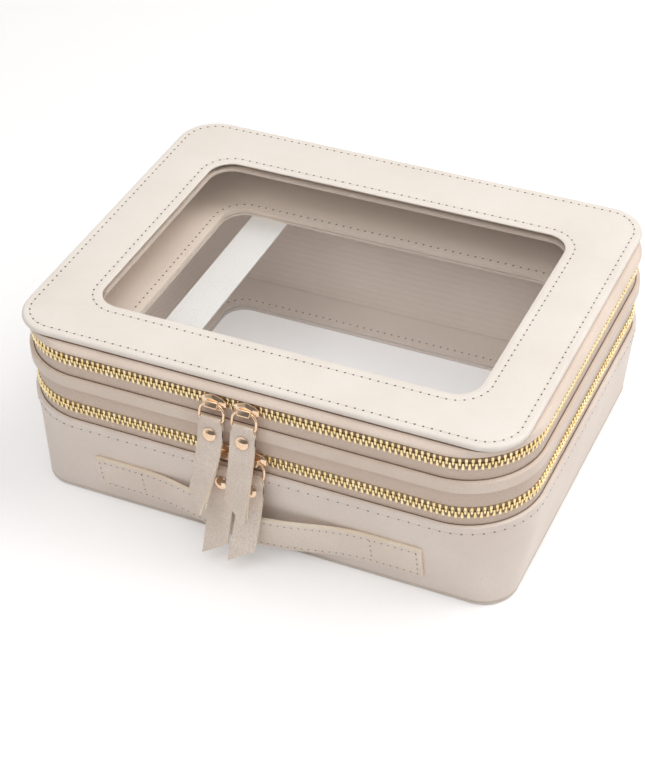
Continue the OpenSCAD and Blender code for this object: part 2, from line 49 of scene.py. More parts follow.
# The case's outline at the zips, and how the leather sits round it
CASE_W, CASE_D, CASE_R = 258.0, 202.0, 38.0
TOP_INSET, TOP_R = 4.0, 20.0
TOP_W, TOP_D = CASE_W - 2 * TOP_INSET, CASE_D - 2 * TOP_INSET
FOOT_INSET, FOOT_R = 7.0, 17.0
SHOULDER_INSET = 0.9
FOOT_Z, SHOULDER_Z, WALL_TOP = 2.6, 40.5, 50.5
TRAY_STRIP_TOP = 76.7
LOW_ZIP_Z, UP_ZIP_Z = 57.8, 85.8
LID_STRIP_BOTTOM, LID_STRIP_TOP, LID_TOP = 90.6, 94.0, 97.2
LEATHER_T, LINING_T = 1.6, 0.8
LINING_Z = 3.8
TAPE_INSET, TAPE_T = 2.4, 0.8
HEM_H = 5.5
FOOT_SLANT = 0.3
ARC_STEPS = 14

# The windows (width, depth, corner) and the rows of stitches round them
LID_WINDOW = (190.0, 131.0, 12.0)
LID_WINDOW_SHIFT = -2.0
MIDDLE_WINDOW = (179.0, 127.0, 12.0)
BOTTOM_WINDOW = (192.0, 137.0, 12.0)
LID_EDGE_ROW, LID_WINDOW_ROW, INNER_ROW = 4.0, 4.5, 4.0
GROOVE = 0.16
LID_ROW_Z = LID_TOP - 0.13
WALL_ROW_Z, WALL_ROW_TILT = 46.3, 0.09
THREAD_W, THREAD_H, THREAD_LIFT = 0.5, 0.34, 0.03
HOLE_SIZE, HOLE_GAP = (0.62, 0.52, 0.22), 0.45

# The zips
CHAIN_IN = 2.8
CHAIN_PATH = (CASE_W - 2 * CHAIN_IN, CASE_D - 2 * CHAIN_IN, CASE_R - CHAIN_IN)
TOOTH_PITCH = 2.75
END_GAP = 3.2
CORD_NEAR, CORD_FAR = 0.9, 3.0

# The pulls
BAR_OUT = 1.0
LINK_HALF, LINK_BEND, LINK_H = 6.0, 1.7, 8.0
LINK_ARCH_HALF, LINK_ARCH_H = 1.4, 4.4
WIRE_R, WIRE_GAP = 0.7, 0.3
UP_LEAN, LOW_LEAN = 15.0, 13.0
TAB_L, TAB_W, TAB_T = 46.0, 12.2, 1.15
TAB_NECK, TAB_SLANT, TAB_BACK_SHORTER = 10.0, 8.0, 2.2
RIVET_DROP = 7.0

# The grab handle
HANDLE_L, HANDLE_H, HANDLE_T, HANDLE_END = 167.0, 19.5, 2.0, 25.0
HANDLE_Z, HANDLE_BOW, HANDLE_DROOP = 21.0, 6.0, 2.6
HANDLE_GAP = 0.05
HANDLE_CUTS = 72
WALL_LEAN = atan((FOOT_INSET - SHOULDER_INSET) / (SHOULDER_Z - FOOT_Z))

# ------------------------------------------------------------------- finishes


def srgb(red, green, blue):
    """A colour given from 0 to 255 as a screen shows it, as a linear colour."""
    shares = [value / 255 for value in (red, green, blue)]
    return tuple(((s + 0.055) / 1.055) ** 2.4 if s > 0.04 else s / 12.92 for s in shares) + (1.0,)


def blank_finish(name):
    """A material with only its output node, its node tree and the output."""
    finish = bpy.data.materials.new(name)
    finish.use_nodes = True
    tree = finish.node_tree
    tree.nodes.clear()
    return finish, tree, tree.nodes.new("ShaderNodeOutputMaterial")


def object_place(tree):
    """Where a point is on the piece, in metres."""
    return tree.nodes.new("ShaderNodeTexCoord").outputs["Object"]


def axes_of(tree, place):
    """The X, Y and Z of a place."""
    split = tree.nodes.new("ShaderNodeSeparateXYZ")
    tree.links.new(place, split.inputs[0])
    return split.outputs


def math_node(tree, operation, first, second=None):
    """A Math node whose inputs are sockets or numbers."""
    node = tree.nodes.new("ShaderNodeMath")
    node.operation = operation
    for socket, value in zip(node.inputs, (first, second)):
        if isinstance(value, (int, float)):
            socket.default_value = value
        elif value is not None:
            tree.links.new(value, socket)
    return node.outputs[0]


def weighted(tree, *terms, base=None):
    """A sum of values, each times its weight, and of a base."""
    parts = [math_node(tree, "MULTIPLY", value, weight) for value, weight in terms]
    total = parts[0]
    for part in parts[1:]:
        total = math_node(tree, "ADD", total, part)
    return total if base is None else math_node(tree, "ADD", total, base)


def waves(tree, value, pitch):
    """A sine along a value, with one wave in each pitch in mm."""
    return math_node(tree, "SINE", math_node(tree, "MULTIPLY", value, 2 * pi / (pitch * mm)))


def noise(tree, place, scale, detail=3.0, rough=0.5):
    """Noise from 0 to 1 at a scale in waves per metre."""
    node = tree.nodes.new("ShaderNodeTexNoise")
    node.inputs["Scale"].default_value = scale
    node.inputs["Detail"].default_value = detail
    node.inputs["Roughness"].default_value = rough
    tree.links.new(place, node.inputs["Vector"])
    return node.outputs["Fac"]


def pebbles(tree, place, scale):
    """Height of a pebbled leather grain, lowest in the creases."""
    node = tree.nodes.new("ShaderNodeTexVoronoi")
    node.feature = "SMOOTH_F1"
    node.inputs["Scale"].default_value = scale
    node.inputs["Smoothness"].default_value = 0.6
    tree.links.new(place, node.inputs["Vector"])
    return math_node(tree, "SUBTRACT", 1.0, node.outputs["Distance"])


def spread(tree, value, low, high, start=0.3, end=0.7):
    """Maps a value between start and end to between low and high."""
    node = tree.nodes.new("ShaderNodeMapRange")
    limits = {"From Min": start, "From Max": end, "To Min": low, "To Max": high}
    for name, limit in limits.items():
        node.inputs[name].default_value = limit
    tree.links.new(value, node.inputs["Value"])
    return node.outputs["Result"]


def relief(tree, height, depth, strength, before=None):
    """A Bump node of a depth in mm, on top of the one before."""
    node = tree.nodes.new("ShaderNodeBump")
    node.inputs["Distance"].default_value = depth * mm
    node.inputs["Strength"].default_value = strength
    tree.links.new(height, node.inputs["Height"])
    if before is not None:
        tree.links.new(before, node.inputs["Normal"])
    return node.outputs["Normal"]


def mixed_colour(tree, share, dark, light):
    """A colour between dark and light by share."""
    node = tree.nodes.new("ShaderNodeMix")
    node.data_type = "RGBA"
    sockets = {s.name: s for s in node.inputs if s.type == "RGBA"}
    sockets["A"].default_value, sockets["B"].default_value = dark, light
    factor = next(s for s in node.inputs if s.name == "Factor" and s.type == "VALUE")
    tree.links.new(share, factor)
    return next(s for s in node.outputs if s.type == "RGBA")


def shader_of(tree, out, **values):
    """A Principled shader on the output, with plain socket values."""
    shader = tree.nodes.new("ShaderNodeBsdfPrincipled")
    for name, value in values.items():
        shader.inputs[name.replace("_", " ")].default_value = value
    tree.links.new(shader.outputs[0], out.inputs["Surface"])
    return shader


def dress(tree, shader, colour, rough, normal):
    """Links a shader's colour, roughness and normal."""
    for name, value in (("Base Color", colour), ("Roughness", rough), ("Normal", normal)):
        tree.links.new(value, shader.inputs[name])


def leather_finish(name, light, dark, rough=0.46, grain=1150.0, grain_depth=0.04, creases=0.0):
    """Smooth coated leather: faint pebbles, long soft waves and a slightly uneven tone.
    Creases says how much darker the leather is between the pebbles."""
    finish, tree, out = blank_finish(name)
    place = object_place(tree)
    shader = shader_of(tree, out, Specular_IOR_Level=0.42, Sheen_Weight=0.06, Sheen_Roughness=0.5)
    clouds = noise(tree, place, scale=28.0, detail=4.0, rough=0.55)
    speckle = noise(tree, place, scale=2600.0, detail=2.0)
    height = pebbles(tree, place, grain)
    tone = weighted(tree, (clouds, 0.72), (speckle, 0.28))
    tone = spread(tree, tone, 0.0, 1.0, start=0.35, end=0.65)
    if creases:
        crease = spread(tree, height, 1.0 - creases, 1.0, start=0.35, end=0.75)
        tone = math_node(tree, "MULTIPLY", tone, crease)
    soft = relief(tree, noise(tree, place, scale=42.0, detail=2.0), depth=0.3, strength=0.5)
    dress(tree, shader, mixed_colour(tree, tone, srgb(*dark), srgb(*light)),
          spread(tree, clouds, rough - 0.05, rough + 0.06),
          relief(tree, height, grain_depth, strength=0.8, before=soft))
    return finish


def tape_finish(name, light, dark, rib=0.95, thread=0.45, band=1.9):
    """Woven zip tape: twill ribs that turn back in narrow bands, as in a herringbone."""
    finish, tree, out = blank_finish(name)
    place = object_place(tree)
    shader = shader_of(tree, out, Specular_IOR_Level=0.25, Sheen_Weight=0.35, Sheen_Roughness=0.45)
    axes = axes_of(tree, place)
    along = math_node(tree, "ADD", math_node(tree, "ABSOLUTE", axes["X"]), axes["Y"])
    bands = math_node(tree, "PINGPONG", axes["Z"], band * mm)
    ribs = waves(tree, math_node(tree, "ADD", along, bands), rib)
    weave = weighted(tree, (ribs, 0.38), (waves(tree, axes["Z"], thread), 0.10), base=0.5)
    fuzz = noise(tree, place, scale=1800.0)
    tone = weighted(tree, (weave, 0.6), (fuzz, 0.4))
    share = spread(tree, tone, 0.0, 1.0, start=0.25, end=0.7)
    dress(tree, shader, mixed_colour(tree, share, srgb(*dark), srgb(*light)),
          spread(tree, fuzz, 0.72, 0.9), relief(tree, tone, depth=0.16, strength=0.9))
    return finish


def cloth_finish(name, light, dark, pitch=0.55, rough=0.78):
    """Plain woven lining with fine crossing threads, a pitch in mm apart."""
    finish, tree, out = blank_finish(name)
    place = object_place(tree)
    shader = shader_of(tree, out, Specular_IOR_Level=0.3, Sheen_Weight=0.25, Sheen_Roughness=0.4)
    axes = axes_of(tree, place)
    crossing = [waves(tree, axes[axis], pitch) for axis in ("X", "Y", "Z")]
    weave = math_node(tree, "ADD", math_node(tree, "ADD", *crossing[:2]), crossing[2])
    weave = weighted(tree, (weave, 0.16), base=0.5)
    slubs = noise(tree, place, scale=420.0, detail=4.0)
    clouds = noise(tree, place, scale=22.0)
    tone = weighted(tree, (weave, 0.35), (slubs, 0.3), (clouds, 0.35))
    share = spread(tree, tone, 0.0, 1.0, start=0.35, end=0.65)
    dress(tree, shader, mixed_colour(tree, share, srgb(*dark), srgb(*light)),
          spread(tree, slubs, rough - 0.08, rough + 0.08),
          relief(tree, weave, depth=0.09, strength=0.7))
    return finish


def elastic_finish(name, light, dark, rib=1.1, cord=1.6):
    """Ribbed elastic: close ribs across its width and a slightly fuzzy face."""
    finish, tree, out = blank_finish(name)
    place = object_place(tree)
    shader = shader_of(tree, out, Specular_IOR_Level=0.25, Sheen_Weight=0.3)
    axes = axes_of(tree, place)
    ribs, cords = waves(tree, axes["Y"], rib), waves(tree, axes["X"], cord)
    fuzz = noise(tree, place, scale=1500.0)
    tone = weighted(tree, (ribs, 0.2), (cords, 0.12), (fuzz, 0.3), base=0.35)
    share = spread(tree, tone, 0.0, 1.0, start=0.2, end=0.8)
    dress(tree, shader, mixed_colour(tree, share, srgb(*dark), srgb(*light)),
          spread(tree, fuzz, 0.7, 0.9), relief(tree, tone, depth=0.2, strength=0.7))
    return finish


def metal_finish(name, light, dark, rough):
    """Plated metal with faint polishing marks and a little uneven tone, in linear colours."""
    finish, tree, out = blank_finish(name)
    place = object_place(tree)
    shader = shader_of(tree, out, Metallic=1.0)
    clouds = noise(tree, place, scale=260.0)
    marks = noise(tree, place, scale=3200.0, detail=2.0)
    dress(tree, shader, mixed_colour(tree, spread(tree, clouds, 0.0, 1.0), dark, light),
          spread(tree, marks, rough * 0.75, rough * 1.3),
          relief(tree, marks, depth=0.012, strength=0.5))
    return finish


def film_finish(name, tint, haze, rough=0.05, least=0.018, most=0.8):
    """Clear flexible film: mostly see-through, with a mirror that grows at low angles.
    Least and most are the mirror's share seen straight on and what a low angle adds."""
    finish, tree, out = blank_finish(name)
    place = object_place(tree)
    clear = tree.nodes.new("ShaderNodeBsdfTransparent")
    clear.inputs["Color"].default_value = tint
    face = tree.nodes.new("ShaderNodeBsdfPrincipled")
    face.inputs["Base Color"].default_value = haze
    face.inputs["Specular IOR Level"].default_value = 0.6
    scuffs = noise(tree, place, scale=160.0, detail=5.0, rough=0.65)
    tree.links.new(spread(tree, scuffs, rough, rough + 0.08), face.inputs["Roughness"])
    ripples = relief(tree, noise(tree, place, scale=9.0, detail=2.0), depth=1.2, strength=0.35)
    tree.links.new(ripples, face.inputs["Normal"])
    slant = tree.nodes.new("ShaderNodeLayerWeight")
    slant.inputs["Blend"].default_value = 0.5
    tree.links.new(ripples, slant.inputs["Normal"])
    grazing = math_node(tree, "POWER", slant.outputs["Facing"], 5.0)
    mix = tree.nodes.new("ShaderNodeMixShader")
    tree.links.new(weighted(tree, (grazing, most), base=least), mix.inputs[0])
    tree.links.new(clear.outputs[0], mix.inputs[1])
    tree.links.new(face.outputs[0], mix.inputs[2])
    tree.links.new(mix.outputs[0], out.inputs["Surface"])
    return finish


lid_leather = leather_finish("lid_leather", (246, 239, 231), (238, 229, 220),
                             grain_depth=0.06, creases=0.3)
wall_leather = leather_finish("wall_leather", (248, 237, 228), (236, 222, 211),
                              rough=0.5, grain_depth=0.08, creases=0.45)
strip_leather = leather_finish("strip_leather", (242, 226, 213), (228, 210, 195),
                               rough=0.5, grain_depth=0.08, creases=0.45)
tab_leather = leather_finish("tab_leather", (253, 241, 230), (224, 206, 191),
                             rough=0.52, grain=1100.0, grain_depth=0.18, creases=0.55)
strap_leather = leather_finish("strap_leather", (251, 238, 226), (237, 221, 207),
                               rough=0.52, grain=1100.0, grain_depth=0.1, creases=0.45)
raw_edge = leather_finish("raw_edge", (252, 241, 222), (240, 223, 200), rough=0.62, grain=2400.0)
piping_leather = leather_finish("piping_leather", (226, 214, 203), (212, 198, 186), rough=0.5)
# Painted shade: the dark colours of the hole blobs stand for the shade inside needle holes
needle_hole_shade = leather_finish("needle_hole_shade", (96, 80, 68), (74, 60, 50), rough=0.85, grain=3000.0)
soft_hole_shade = leather_finish("soft_hole_shade", (158, 140, 126), (134, 116, 102),
                           rough=0.85, grain=3000.0)
# Painted shade: this dark colour stands for the thin shadow lines along leather edges and under
# the lid's rim
painted_shade_line = leather_finish("painted_shade_line", (140, 118, 103), (118, 98, 84), rough=0.6, grain=2400.0)
tape_weave = tape_finish("tape_weave", (243, 225, 211), (200, 177, 160))
# Painted shade: the cord is much darker than the tape, standing for the shadow in the gap between
# the teeth
zip_cord_shade = tape_finish("zip_cord_shade", (170, 148, 128), (128, 106, 88))
lining_cloth = cloth_finish("lining_cloth", (247, 233, 219), (237, 221, 206))
base_cloth = cloth_finish("base_cloth", (247, 235, 224), (237, 223, 211))
lining_edge = cloth_finish("lining_edge", (240, 227, 214), (228, 213, 199))
board_grey = cloth_finish("board_grey", (228, 222, 215), (214, 207, 199), pitch=0.9)
sewing_thread = cloth_finish("sewing_thread", (244, 236, 227), (230, 219, 208),
                             pitch=0.35, rough=0.7)
elastic_white = elastic_finish("elastic_white", (250, 249, 247), (232, 230, 227))
gold_teeth = metal_finish("gold_teeth", (0.95, 0.82, 0.52, 1.0), (0.80, 0.62, 0.30, 1.0),
                          rough=0.2)
rose_gold = metal_finish("rose_gold", (0.88, 0.68, 0.50, 1.0), (0.80, 0.58, 0.40, 1.0),
                         rough=0.1)
clear_film = film_finish("clear_film", (0.99, 0.99, 0.99, 1.0), (0.88, 0.88, 0.89, 1.0))
print("finishes made")

# ------------------------------------------------------------------ modelling


def face_out(shape):
    """Turns every face of a closed shape outwards."""
    bmesh.ops.recalc_face_normals(shape, faces=shape.faces[:])


def shift(x, y, z):
    """A move by a distance in mm."""
    return Matrix.Translation((x * mm, y * mm, z * mm))


def keep_mesh(name, mesh, finishes, body, slot, replaced=(), sharp=40.0):
    """Makes a mesh a piece that rides on a body, and hides the nodes it replaces."""
    piece = bpy.data.objects.new(name, mesh)
    bpy.context.scene.collection.objects.link(piece)
    for finish in finishes:
        mesh.materials.append(finish)
    mesh.shade_smooth()
    mesh.set_sharp_from_angle(angle=radians(sharp))
    if replaced:
        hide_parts(*replaced)
    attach(piece, body)


def keep_piece(name, shape, *facts, **options):
    """The same for a bmesh, which is freed."""
    mesh = bpy.data.meshes.new(name)
    shape.to_mesh(mesh)
    shape.free()
    keep_mesh(name, mesh, *facts, **options)


def rounded_ring(shape, width, depth, radius, height):
    """Adds the outline of a rounded rectangle at a height, all in mm, and gives its edges."""
    place = shift(0, 0, height) @ Matrix.Diagonal((width * mm, depth * mm, 1, 1))
    corners = bmesh.ops.create_grid(shape, x_segments=1, y_segments=1, size=0.5,
                                    matrix=place)["verts"]
    rounded = bmesh.ops.bevel(shape, geom=corners, offset=radius * mm, offset_type="OFFSET",
                              affect="VERTICES", segments=ARC_STEPS, profile=0.5,
                              material=-1)["verts"]
    sheet = rounded[0].link_faces[0]
    edges = list(sheet.edges)
    bmesh.ops.delete(shape, geom=[sheet], context="FACES_ONLY")
    return edges


def case_ring(shape, inset, height, radius=None):
    """The outline of the case at the zips, moved in by an inset."""
    corner = CASE_R - inset if radius is None else radius
    return rounded_ring(shape, CASE_W - 2 * inset, CASE_D - 2 * inset, corner, height)


def ring_loft(shape, rings):
    """Joins rings of edges one to the next, and the last to the first."""
    for low, high in zip(rings, rings[1:] + rings[:1]):
        bmesh.ops.bridge_loops(shape, edges=low + high)
    face_out(shape)


def case_loft(profile):
    """A closed band round the case. The profile's points are inset, height and maybe radius."""
    shape = bmesh.new()
    ring_loft(shape, [case_ring(shape, *point) for point in profile])
    return shape


def on_outline(along, width, depth, radius):
    """Point in plan and outward angle at a distance from the middle of an outline's front."""
    distance = abs(along)
    half_x, half_y = width / 2 - radius, depth / 2 - radius
    quarter = pi / 2 * radius
    corner_start = half_x
    side_start = corner_start + quarter
    back_corner_start = side_start + 2 * half_y
    back_start = back_corner_start + quarter
    if distance <= corner_start:
        x, y, angle = distance, -depth / 2, -pi / 2
    elif distance <= side_start:
        angle = -pi / 2 + (distance - corner_start) / radius
        x, y = half_x + radius * cos(angle), -half_y + radius * sin(angle)
    elif distance <= back_corner_start:
        x, y, angle = width / 2, -half_y + distance - side_start, 0.0
    elif distance <= back_start:
        angle = (distance - back_corner_start) / radius
        x, y = half_x + radius * cos(angle), half_y + radius * sin(angle)
    else:
        x, y, angle = half_x - (distance - back_start), depth / 2, pi / 2
    return (x, y, angle) if along >= 0 else (-x, y, pi - angle)


def outline_length(width, depth, radius):
    """How far it is once round a rounded rectangle."""
    return 2 * (width + depth - 4 * radius) + 2 * pi * radius


def spaced(count, step, outline):
    """Points at equal steps on an outline, as many to the left as to the right of its front."""
    return [on_outline((i - (count - 1) / 2) * step, *outline) for i in range(count)]


def place_of(x, y, z, angle, tilt=0.0):
    """A frame whose x points outward at an angle, y runs along the outline and z is up."""
    return shift(x, y, z) @ Matrix.Rotation(angle, 4, "Z") @ Matrix.Rotation(tilt, 4, "Y")


def repeated(master, places):
    """A bmesh with a copy of a small one at each place. The small one is freed."""
    small = bpy.data.meshes.new("small")
    master.to_mesh(small)
    master.free()
    whole = bmesh.new()
    for place in places:
        turned = small.copy()
        turned.transform(place)
        whole.from_mesh(turned)
        bpy.data.meshes.remove(turned)
    bpy.data.meshes.remove(small)
    return whole


def round_edges(shape, edges, radius, steps):
    """Rounds edges by a radius in mm."""
    bmesh.ops.bevel(shape, geom=edges, offset=radius * mm, offset_type="OFFSET", affect="EDGES",
                    segments=steps, profile=0.5, material=-1)


def soft_block(shape, size, place=Matrix.Identity(4), edge=0.2, steps=2):
    """Adds a block with rounded edges; sizes in mm."""
    whole = place @ Matrix.Diagonal((size[0] * mm, size[1] * mm, size[2] * mm, 1))
    made = bmesh.ops.create_cube(shape, size=1.0, matrix=whole)["verts"]
    round_edges(shape, list({e for v in made for e in v.link_edges}), edge, steps)


# -------------------------------------------------------------- walls and lid


def wall_level(z):
    """Inset and corner radius of the base wall's outside at a height."""
    if z > SHOULDER_Z:
        inset = SHOULDER_INSET * (1 - (z - SHOULDER_Z) / (WALL_TOP - SHOULDER_Z))
        return inset, CASE_R - inset
    share = (z - FOOT_Z) / (SHOULDER_Z - FOOT_Z)
    inset = FOOT_INSET + (SHOULDER_INSET - FOOT_INSET) * share
    return inset, FOOT_R + (CASE_R - SHOULDER_INSET - FOOT_R) * share


def wall_skin(name, deep, thick, low, finish, slot, replaced, fold, hem=None):
    """A layer of the tapered wall, a distance deep behind its face, with a rounded top edge.
    A hem is the one inset that its inside keeps near the top."""
    straight, around, least_r = 9, 6, 2.0
    height = WALL_TOP - fold - low
    rise = [low + height * step / straight for step in range(straight + 1)]
    profile = []
    for z in rise:
        inset, radius = wall_level(z)
        profile.append((inset + deep, z, max(radius - deep, least_r)))
    top_inset, top_radius = wall_level(WALL_TOP)
    top_thick = thick if hem is None else hem - top_inset - deep
    for step in range(1, around):
        turn = pi * step / around
        inset = top_inset + deep + top_thick / 2 * (1 - cos(turn))
        z = WALL_TOP - fold + fold * sin(turn)
        profile.append((inset, z, top_radius - (inset - top_inset)))
    if hem is not None:
        profile += [(hem, WALL_TOP - fold), (hem, WALL_TOP - HEM_H)]
        rise = [z for z in rise if z < WALL_TOP - HEM_H] + [WALL_TOP - HEM_H - 0.1]
    for z in reversed([low + FOOT_SLANT] + rise[1:]):
        inset, radius = wall_level(z)
        profile.append((inset + deep + thick, z, max(radius - deep - thick, least_r)))
    keep_piece(name, case_loft(profile), [finish], "base", slot, [replaced])


def lid_shoulder():
    """The leather between the lid's rim and its zip: tucked in under the rim, rounded out.
    Each point has inset, height and corner radius."""
    profile = [(3.7, LID_STRIP_BOTTOM, 34.2), (0.62, LID_STRIP_BOTTOM, 37.4), (0.36, 90.78, 37.6),
               (0.32, 91.2, 37.6), (0.62, 91.75, 37.2), (1.3, 92.35, 35.5), (2.25, 92.95, 31.5),
               (3.3, 93.4, 26.5), (4.5, 93.6, 21.5), (6.5, 93.7, 19.5), (5.2, 92.4, 27.0)]
    keep_piece("lid_shoulder", case_loft(profile), [strip_leather], "lid", "lid_leather",
               ["lid_strip"])


def lid_top():
    """The lid's leather border: a rolled rim, a dip under each row of stitches and a thin lip."""
    shape = bmesh.new()
    roll = (LID_TOP - LID_STRIP_TOP) / 2
    rim = LID_STRIP_TOP + roll
    around = 8
    rings, levels = [], []

    def add(width, depth, radius, z, along=0.0):
        """A ring at a height of its own for the loft, and where it goes after it."""
        rings.append(rounded_ring(shape, width, depth, radius, float(len(rings))))
        levels.append(({v for edge in rings[-1] for v in edge.verts}, z, along))

    def outer(inset, z):
        """A ring moved in from the lid's outline."""
        add(TOP_W - 2 * inset, TOP_D - 2 * inset, TOP_R - inset, z)

    def inner(out, z):
        """A ring moved out from the window's outline."""
        width, depth, radius = LID_WINDOW
        add(width + 2 * out, depth + 2 * out, radius + out, z, LID_WINDOW_SHIFT)

    for step in range(around + 1):
        turn = pi * (step / around - 0.5)
        outer(roll - roll * cos(turn), rim + roll * sin(turn))
    dip = ((-1.0, 0.0), (0.0, GROOVE), (1.0, 0.0))
    for side, drop in dip:
        outer(LID_EDGE_ROW + side, LID_TOP - drop)
    for side, drop in dip:
        inner(LID_WINDOW_ROW - side, LID_TOP - drop)
    for out, drop in ((0.45, 0.03), (0.1, 0.2), (0.0, 0.5), (0.12, 0.85), (0.6, 1.0)):
        inner(out, LID_TOP - drop)
    inner(6.5, LID_STRIP_TOP + 0.3)
    inner(8.0, LID_STRIP_TOP + 0.02)
    outer(6.0, LID_STRIP_TOP + 0.01)
    ring_loft(shape, rings)
    for verts, z, along in levels:
        for v in verts:
            v.co.z = z * mm
            v.co.y += along * mm
    face_out(shape)
    keep_piece("lid_top", shape, [lid_leather], "lid", "lid_leather", ["lid_panel"])


def shade_line_bead(name, profile, body, slot):
    """A thin dark bead along a leather edge, painted shadow for the thin shade line in the gap
    beside it.
    """
    keep_piece(name, case_loft(profile), [painted_shade_line], body, slot)


wall_skin("base_shell", 0.0, LEATHER_T, FOOT_Z, wall_leather, "wall_leather", "base_wall",
          fold=0.8, hem=TAPE_INSET)
wall_skin("base_lining_shell", TAPE_INSET + TAPE_T, LINING_T, LINING_Z, base_cloth,
          "lining_fabric", "base_lining", fold=0.4)
lid_shoulder()
lid_top()
# Painted shadow lines where the wall's and the tray strip's edges meet the tape, and under the
# lid's rim
shade_line_bead("wall_painted_shade_line",
             [(1.85, WALL_TOP - 0.2), (1.95, WALL_TOP), (2.2, WALL_TOP + 0.08),
              (2.38, WALL_TOP), (2.38, WALL_TOP - 0.4)], "base", "wall_leather")
shade_line_bead("strip_painted_shade_line",
             [(1.8, TRAY_STRIP_TOP - 0.25), (1.88, TRAY_STRIP_TOP - 0.04),
              (2.1, TRAY_STRIP_TOP + 0.08), (2.38, TRAY_STRIP_TOP + 0.02),
              (2.38, TRAY_STRIP_TOP - 0.3)], "tray", "wall_leather")
shade_line_bead("rim_painted_shade_line",
             [(4.5, 93.55, 21.7), (4.8, 93.76, 21.3), (5.3, 93.92, 20.6), (6.2, 93.98, 19.8),
              (6.4, 93.5, 19.6)], "lid", "lid_leather")

# ----------------------------------------------------------------- zip teeth


def one_tooth():
    """A cast tooth: a pair of legs that grip the tape's edge, and a head."""
    legs, legs_z, head, head_z = (2.5, 1.45, 2.1), -2.05, (2.9, 1.12, 1.9), -0.3
    shape = bmesh.new()
    soft_block(shape, legs, shift(0, 0, legs_z), edge=0.36)
    soft_block(shape, head, shift(0, 0, head_z), edge=0.34)
    return shape


def tooth_row(name, height, upper, body, replaced):
    """A row of teeth on the same places as the solid one, from one back corner to the other."""
    width, depth, radius = CHAIN_PATH
    half_path = width / 2 - radius + pi / 2 * radius * 1.5 + depth - 2 * radius
    count = 2 * int((half_path - END_GAP - TOOTH_PITCH) / TOOTH_PITCH) + (0 if upper else 1)
    over = Matrix.Rotation(pi if upper else 0.0, 4, "X")
    places = [place_of(x, y, height, angle) @ over
              for x, y, angle in spaced(count, TOOTH_PITCH, CHAIN_PATH)]
    keep_piece(name, repeated(one_tooth(), places), [gold_teeth], body, "zip_teeth", [replaced])


def tape_cord(name, centre, side, body):
    """The corded edge of a tape that a row of teeth grips, in a dark colour that paints the shade
    in the gap behind the teeth. It ends in the back corners.
    """
    low, high = sorted((centre + side * CORD_NEAR, centre + side * CORD_FAR))
    middle, bend = (low + high) / 2, 0.35
    shape = case_loft([(2.42, low), (2.05, low + bend), (2.0, middle), (2.05, high - bend),
                       (2.42, high), (2.6, middle + 0.05)])
    corner_x, corner_y = (CASE_W / 2 - CASE_R) * mm, (CASE_D / 2 - CASE_R) * mm
    behind = []
    for face in shape.faces:
        place = face.calc_center_median()
        if place.y - corner_y > max(0.0, abs(place.x) - corner_x):
            behind.append(face)
    bmesh.ops.delete(shape, geom=behind, context="FACES")
    bmesh.ops.holes_fill(shape, edges=[e for e in shape.edges if e.is_boundary])
    face_out(shape)
    keep_piece(name, shape, [zip_cord_shade], body, "zip_tape")


tape_cord("base_tape_cord", LOW_ZIP_Z, -1, "base")
tape_cord("tray_low_tape_cord", LOW_ZIP_Z, 1, "tray")
tape_cord("tray_high_tape_cord", UP_ZIP_Z, -1, "tray")
tape_cord("lid_tape_cord", UP_ZIP_Z, 1, "lid")

tooth_row("base_teeth", LOW_ZIP_Z, False, "base", "base_zip_teeth")
tooth_row("tray_low_teeth", LOW_ZIP_Z, True, "tray", "tray_lower_teeth")
tooth_row("tray_high_teeth", UP_ZIP_Z, False, "tray", "tray_upper_teeth")
tooth_row("lid_teeth", UP_ZIP_Z, True, "lid", "lid_zip_teeth")

# ------------------------------------------------------------------ stitching


def stitches(name, places, length, body, slot, hole_shade_finish=needle_hole_shade, hole_scale=1.0):
    """A row of sewn stitches: short threads with a small dark blob at each end, painted shade for
    the needle hole.
    Each place has x along the row and z out of the leather."""
    thread = bmesh.new()
    soft_block(thread, (length, THREAD_W, THREAD_H), shift(0, 0, THREAD_LIFT), edge=0.15, steps=1)
    keep_piece(name + "_thread", repeated(thread, places), [sewing_thread], body, slot)
    hole = bmesh.new()
    size = Matrix.Diagonal([part * mm * hole_scale for part in HOLE_SIZE] + [1])
    bmesh.ops.create_icosphere(hole, subdivisions=1, radius=1.0, matrix=size)
    gap = shift(length / 2 + HOLE_GAP, 0, 0)
    keep_piece(name + "_hole_shades", repeated(hole, [place @ gap for place in places]), [hole_shade_finish],
               body, slot)


def flat_row(outline, out, z, along=0.0, pitch=4.0):
    """Stitch places on a level face, round an outline that is moved out."""
    width, depth, radius = outline
    row = (width + 2 * out, depth + 2 * out, radius + out)
    count = round(outline_length(*row) / pitch)
    return [place_of(x, y + along, z, angle + pi / 2)
            for x, y, angle in spaced(count, outline_length(*row) / count, row)]


def wall_row(z, pitch):
    """Stitch places round the base wall at a height, lying on its slope."""
    inset, radius = wall_level(z)
    row = (CASE_W - 2 * inset, CASE_D - 2 * inset, radius)
    count = round(outline_length(*row) / pitch)
    lie = Matrix.Rotation(pi / 2, 4, "Z") @ Matrix.Rotation(pi / 2, 4, "X")
    return [place_of(x, y, z, angle, WALL_ROW_TILT) @ lie
            for x, y, angle in spaced(count, outline_length(*row) / count, row)]


def top_of(node):
    """Height of a node's top face in mm."""
    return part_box(node)[1].z / mm


